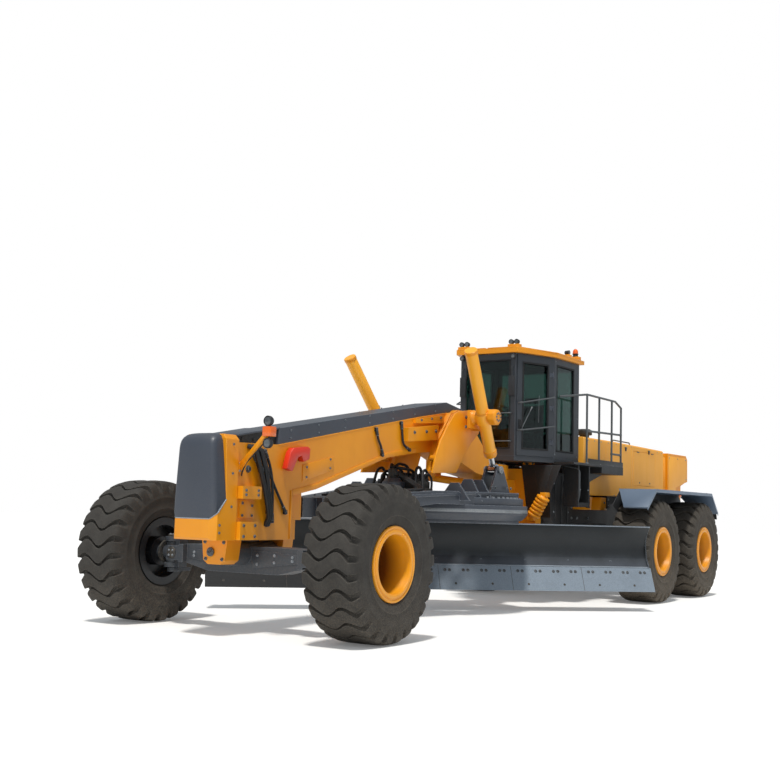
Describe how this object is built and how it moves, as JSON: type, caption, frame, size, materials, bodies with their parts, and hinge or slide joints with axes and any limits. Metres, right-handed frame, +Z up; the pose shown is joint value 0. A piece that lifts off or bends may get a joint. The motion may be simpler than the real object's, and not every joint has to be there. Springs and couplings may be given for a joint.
{
  "type": "motor grader",
  "caption": "Very large motor grader with articulated frame, angled blade on a rotating circle, leaning front wheels, tandem rear wheels, cab and engine hood.",
  "frame": {"origin": "on the ground at the middle of the machine's length and width", "axes": "+X forward, +Y to the machine's left, +Z up"},
  "size_m": [15.232, 5.3529, 4.5999],
  "materials": {
    "yellow_paint": "satin",
    "slate_paint": "satin",
    "black_paint": "matte",
    "cast_black": "matte",
    "blade_steel": "worn",
    "edge_steel": "worn",
    "chrome_rod": "polished",
    "tyre_rubber": "matte",
    "cab_glass": "gloss",
    "seat_fabric": "matte",
    "trim_plastic": "matte",
    "lamp_lens": "gloss",
    "hose_rubber": "matte"
  },
  "bodies": {
    "rear_frame": {"rear_frame": "yellow_paint", "rear_axle": "slate_paint", "engine_block": "cast_black", "engine_hood": "yellow_paint", "rear_grille": "yellow_paint", "fuel_tank": "black_paint", "walkways": "black_paint", "handrails": "black_paint", "cab_floor": "slate_paint", "cab_roof": "yellow_paint", "cab_frame": "black_paint", "cab_windows": "cab_glass", "cab_lamps": "lamp_lens", "operator_seat": "seat_fabric", "control_console": "trim_plastic"},
    "front_frame": {"main_beam": "yellow_paint", "beam_cover": "slate_paint", "nose_box": "yellow_paint", "nose_cover": "slate_paint", "lift_saddle": "yellow_paint", "lamp_mast": "black_paint", "frame_hoses": "hose_rubber"},
    "front_axle": {"front_axle": "slate_paint"},
    "drawbar": {"drawbar": "slate_paint"},
    "circle": {"circle": "slate_paint"},
    "blade_frame": {"blade_frame": "blade_steel"},
    "blade": {"moldboard": "blade_steel", "cutting_edge": "edge_steel"},
    "centre_shift_barrel": {"centre_shift_barrel": "yellow_paint"},
    "centre_shift_rod": {"centre_shift_rod": "chrome_rod"},
    "lean_left": {"lean_carrier_left": "slate_paint"},
    "knuckle_left": {"knuckle_left": "slate_paint"},
    "tandem_left": {"tandem_case_left": "black_paint", "fender_left": "slate_paint"},
    "lift_barrel_left": {"lift_barrel_left": "yellow_paint"},
    "lift_rod_left": {"lift_rod_left": "chrome_rod"},
    "hood_door_left": {"hood_door_left": "yellow_paint"},
    "cab_door_left": {"cab_door_left": "black_paint", "door_glass_left": "cab_glass"},
    "wheel_front_left": {"tyre_front_left": "tyre_rubber", "rim_front_left": "yellow_paint"},
    "wheel_mid_left": {"tyre_mid_left": "tyre_rubber", "rim_mid_left": "yellow_paint"},
    "wheel_rear_left": {"tyre_rear_left": "tyre_rubber", "rim_rear_left": "yellow_paint"},
    "lean_right": {"lean_carrier_right": "slate_paint"},
    "knuckle_right": {"knuckle_right": "slate_paint"},
    "tandem_right": {"tandem_case_right": "black_paint", "fender_right": "slate_paint"},
    "lift_barrel_right": {"lift_barrel_right": "yellow_paint"},
    "lift_rod_right": {"lift_rod_right": "chrome_rod"},
    "hood_door_right": {"hood_door_right": "yellow_paint"},
    "cab_door_right": {"cab_door_right": "black_paint", "door_glass_right": "cab_glass"},
    "wheel_front_right": {"tyre_front_right": "tyre_rubber", "rim_front_right": "yellow_paint"},
    "wheel_mid_right": {"tyre_mid_right": "tyre_rubber", "rim_mid_right": "yellow_paint"},
    "wheel_rear_right": {"tyre_rear_right": "tyre_rubber", "rim_rear_right": "yellow_paint"}
  },
  "joints": [
    {"name": "articulation", "type": "hinge", "parent": "rear_frame", "child": "front_frame", "pos_m": [-0.08, 0, 1.75], "axis": [0, 0, 1], "range_deg": [-20, 20]},
    {"name": "axle_oscillation", "type": "hinge", "parent": "front_frame", "child": "front_axle", "pos_m": [6.52, 0, 0.975], "axis": [1, 0, 0], "range_deg": [-12, 12]},
    {"name": "lean_left", "type": "hinge", "parent": "front_axle", "child": "lean_left", "pos_m": [6.52, 1.13, 0.9375], "axis": [1, 0, 0], "range_deg": [-18, 18]},
    {"name": "steer_left", "type": "hinge", "parent": "lean_left", "child": "knuckle_left", "pos_m": [6.52, 1.32, 0.9375], "axis": [0, 0, 1], "range_deg": [-40, 40]},
    {"name": "wheel_front_left_spin", "type": "hinge", "parent": "knuckle_left", "child": "wheel_front_left", "pos_m": [6.52, 1.83, 0.9375], "axis": [0, 1, 0], "continuous": true},
    {"name": "tandem_left", "type": "hinge", "parent": "rear_frame", "child": "tandem_left", "pos_m": [-3.88, 1.155, 0.9375], "axis": [0, 1, 0], "range_deg": [-15, 15]},
    {"name": "wheel_mid_left_spin", "type": "hinge", "parent": "tandem_left", "child": "wheel_mid_left", "pos_m": [-2.705, 1.725, 0.9375], "axis": [0, 1, 0], "continuous": true},
    {"name": "wheel_rear_left_spin", "type": "hinge", "parent": "tandem_left", "child": "wheel_rear_left", "pos_m": [-5.055, 1.725, 0.9375], "axis": [0, 1, 0], "continuous": true},
    {"name": "lean_right", "type": "hinge", "parent": "front_axle", "child": "lean_right", "pos_m": [6.52, -1.13, 0.9375], "axis": [1, 0, 0], "range_deg": [-18, 18]},
    {"name": "steer_right", "type": "hinge", "parent": "lean_right", "child": "knuckle_right", "pos_m": [6.52, -1.32, 0.9375], "axis": [0, 0, 1], "range_deg": [-40, 40]},
    {"name": "wheel_front_right_spin", "type": "hinge", "parent": "knuckle_right", "child": "wheel_front_right", "pos_m": [6.52, -1.83, 0.9375], "axis": [0, 1, 0], "continuous": true},
    {"name": "tandem_right", "type": "hinge", "parent": "rear_frame", "child": "tandem_right", "pos_m": [-3.88, -1.155, 0.9375], "axis": [0, 1, 0], "range_deg": [-15, 15]},
    {"name": "wheel_mid_right_spin", "type": "hinge", "parent": "tandem_right", "child": "wheel_mid_right", "pos_m": [-2.705, -1.725, 0.9375], "axis": [0, 1, 0], "continuous": true},
    {"name": "wheel_rear_right_spin", "type": "hinge", "parent": "tandem_right", "child": "wheel_rear_right", "pos_m": [-5.055, -1.725, 0.9375], "axis": [0, 1, 0], "continuous": true},
    {"name": "drawbar_pitch", "type": "hinge", "parent": "front_frame", "child": "drawbar", "pos_m": [5.82, 0, 1.56], "axis": [0, 1, 0], "range_deg": [-10.5, 2.5]},
    {"name": "circle_rotation", "type": "hinge", "parent": "drawbar", "child": "circle", "pos_m": [1.87, 0, 1.58], "axis": [0, 0, 1], "range_deg": [-101, 9]},
    {"name": "blade_tip", "type": "hinge", "parent": "circle", "child": "blade_frame", "pos_m": [1.63034, -0.24817, 0.62], "axis": [-0.7193, 0.6947, 0], "range_deg": [-5, 25]},
    {"name": "blade_side_shift", "type": "slide", "parent": "blade_frame", "child": "blade", "axis": [0.7193, -0.6947, 0], "range_m": [-0.6, 0.6]},
    {"name": "lift_barrel_left_swing", "type": "hinge", "parent": "front_frame", "child": "lift_barrel_left", "pos_m": [2.23, 0.966, 3.02], "axis": [0.2183, -0.9758, -0.015], "range_deg": [-4, 16]},
    {"name": "lift_rod_left_slide", "type": "slide", "parent": "lift_barrel_left", "child": "lift_rod_left", "axis": [-0.5875, -0.1191, -0.8004], "range_m": [-0.17, 0.7]},
    {"name": "lift_barrel_right_swing", "type": "hinge", "parent": "front_frame", "child": "lift_barrel_right", "pos_m": [2.23, -0.966, 3.02], "axis": [-0.2183, -0.9758, 0.015], "range_deg": [-4, 16]},
    {"name": "lift_rod_right_slide", "type": "slide", "parent": "lift_barrel_right", "child": "lift_rod_right", "axis": [-0.5875, 0.1191, -0.8004], "range_m": [-0.17, 0.7]},
    {"name": "centre_shift_barrel_swing", "type": "hinge", "parent": "front_frame", "child": "centre_shift_barrel", "pos_m": [1.48, -0.4, 2.11], "axis": [-0.9988, -0.0492, 0.006], "range_deg": [-9, 37.5]},
    {"name": "centre_shift_rod_slide", "type": "slide", "parent": "centre_shift_barrel", "child": "centre_shift_rod", "axis": [-0.0496, 0.9917, -0.119], "range_m": [-0.07, 0.29]},
    {"name": "cab_door_left_swing", "type": "hinge", "parent": "rear_frame", "child": "cab_door_left", "pos_m": [-0.51974, 0.84366, 3.4], "axis": [0, 0, 1], "range_deg": [0, 75]},
    {"name": "hood_door_left_lift", "type": "hinge", "parent": "rear_frame", "child": "hood_door_left", "pos_m": [-4.81, 0.9, 2.86], "axis": [1, 0, 0], "range_deg": [0, 88]},
    {"name": "cab_door_right_swing", "type": "hinge", "parent": "rear_frame", "child": "cab_door_right", "pos_m": [-0.51974, -0.84366, 3.4], "axis": [0, 0, -1], "range_deg": [0, 75]},
    {"name": "hood_door_right_lift", "type": "hinge", "parent": "rear_frame", "child": "hood_door_right", "pos_m": [-4.81, -0.9, 2.86], "axis": [-1, 0, 0], "range_deg": [0, 88]}
  ],
  "couplings": [
    {"joint": "lean_right", "follows": "lean_left", "ratio": 1},
    {"joint": "steer_right", "follows": "steer_left", "ratio": 1},
    {"joint": "lift_barrel_left_swing", "follows": "drawbar_pitch", "ratio": -1.4729},
    {"joint": "lift_rod_left_slide", "follows": "drawbar_pitch", "m_per_rad": -3.7805},
    {"joint": "lift_barrel_right_swing", "follows": "drawbar_pitch", "ratio": -1.4729},
    {"joint": "lift_rod_right_slide", "follows": "drawbar_pitch", "m_per_rad": -3.7805},
    {"joint": "centre_shift_barrel_swing", "follows": "drawbar_pitch", "ratio": -3.5403},
    {"joint": "centre_shift_rod_slide", "follows": "drawbar_pitch", "m_per_rad": -1.5663}
  ]
}
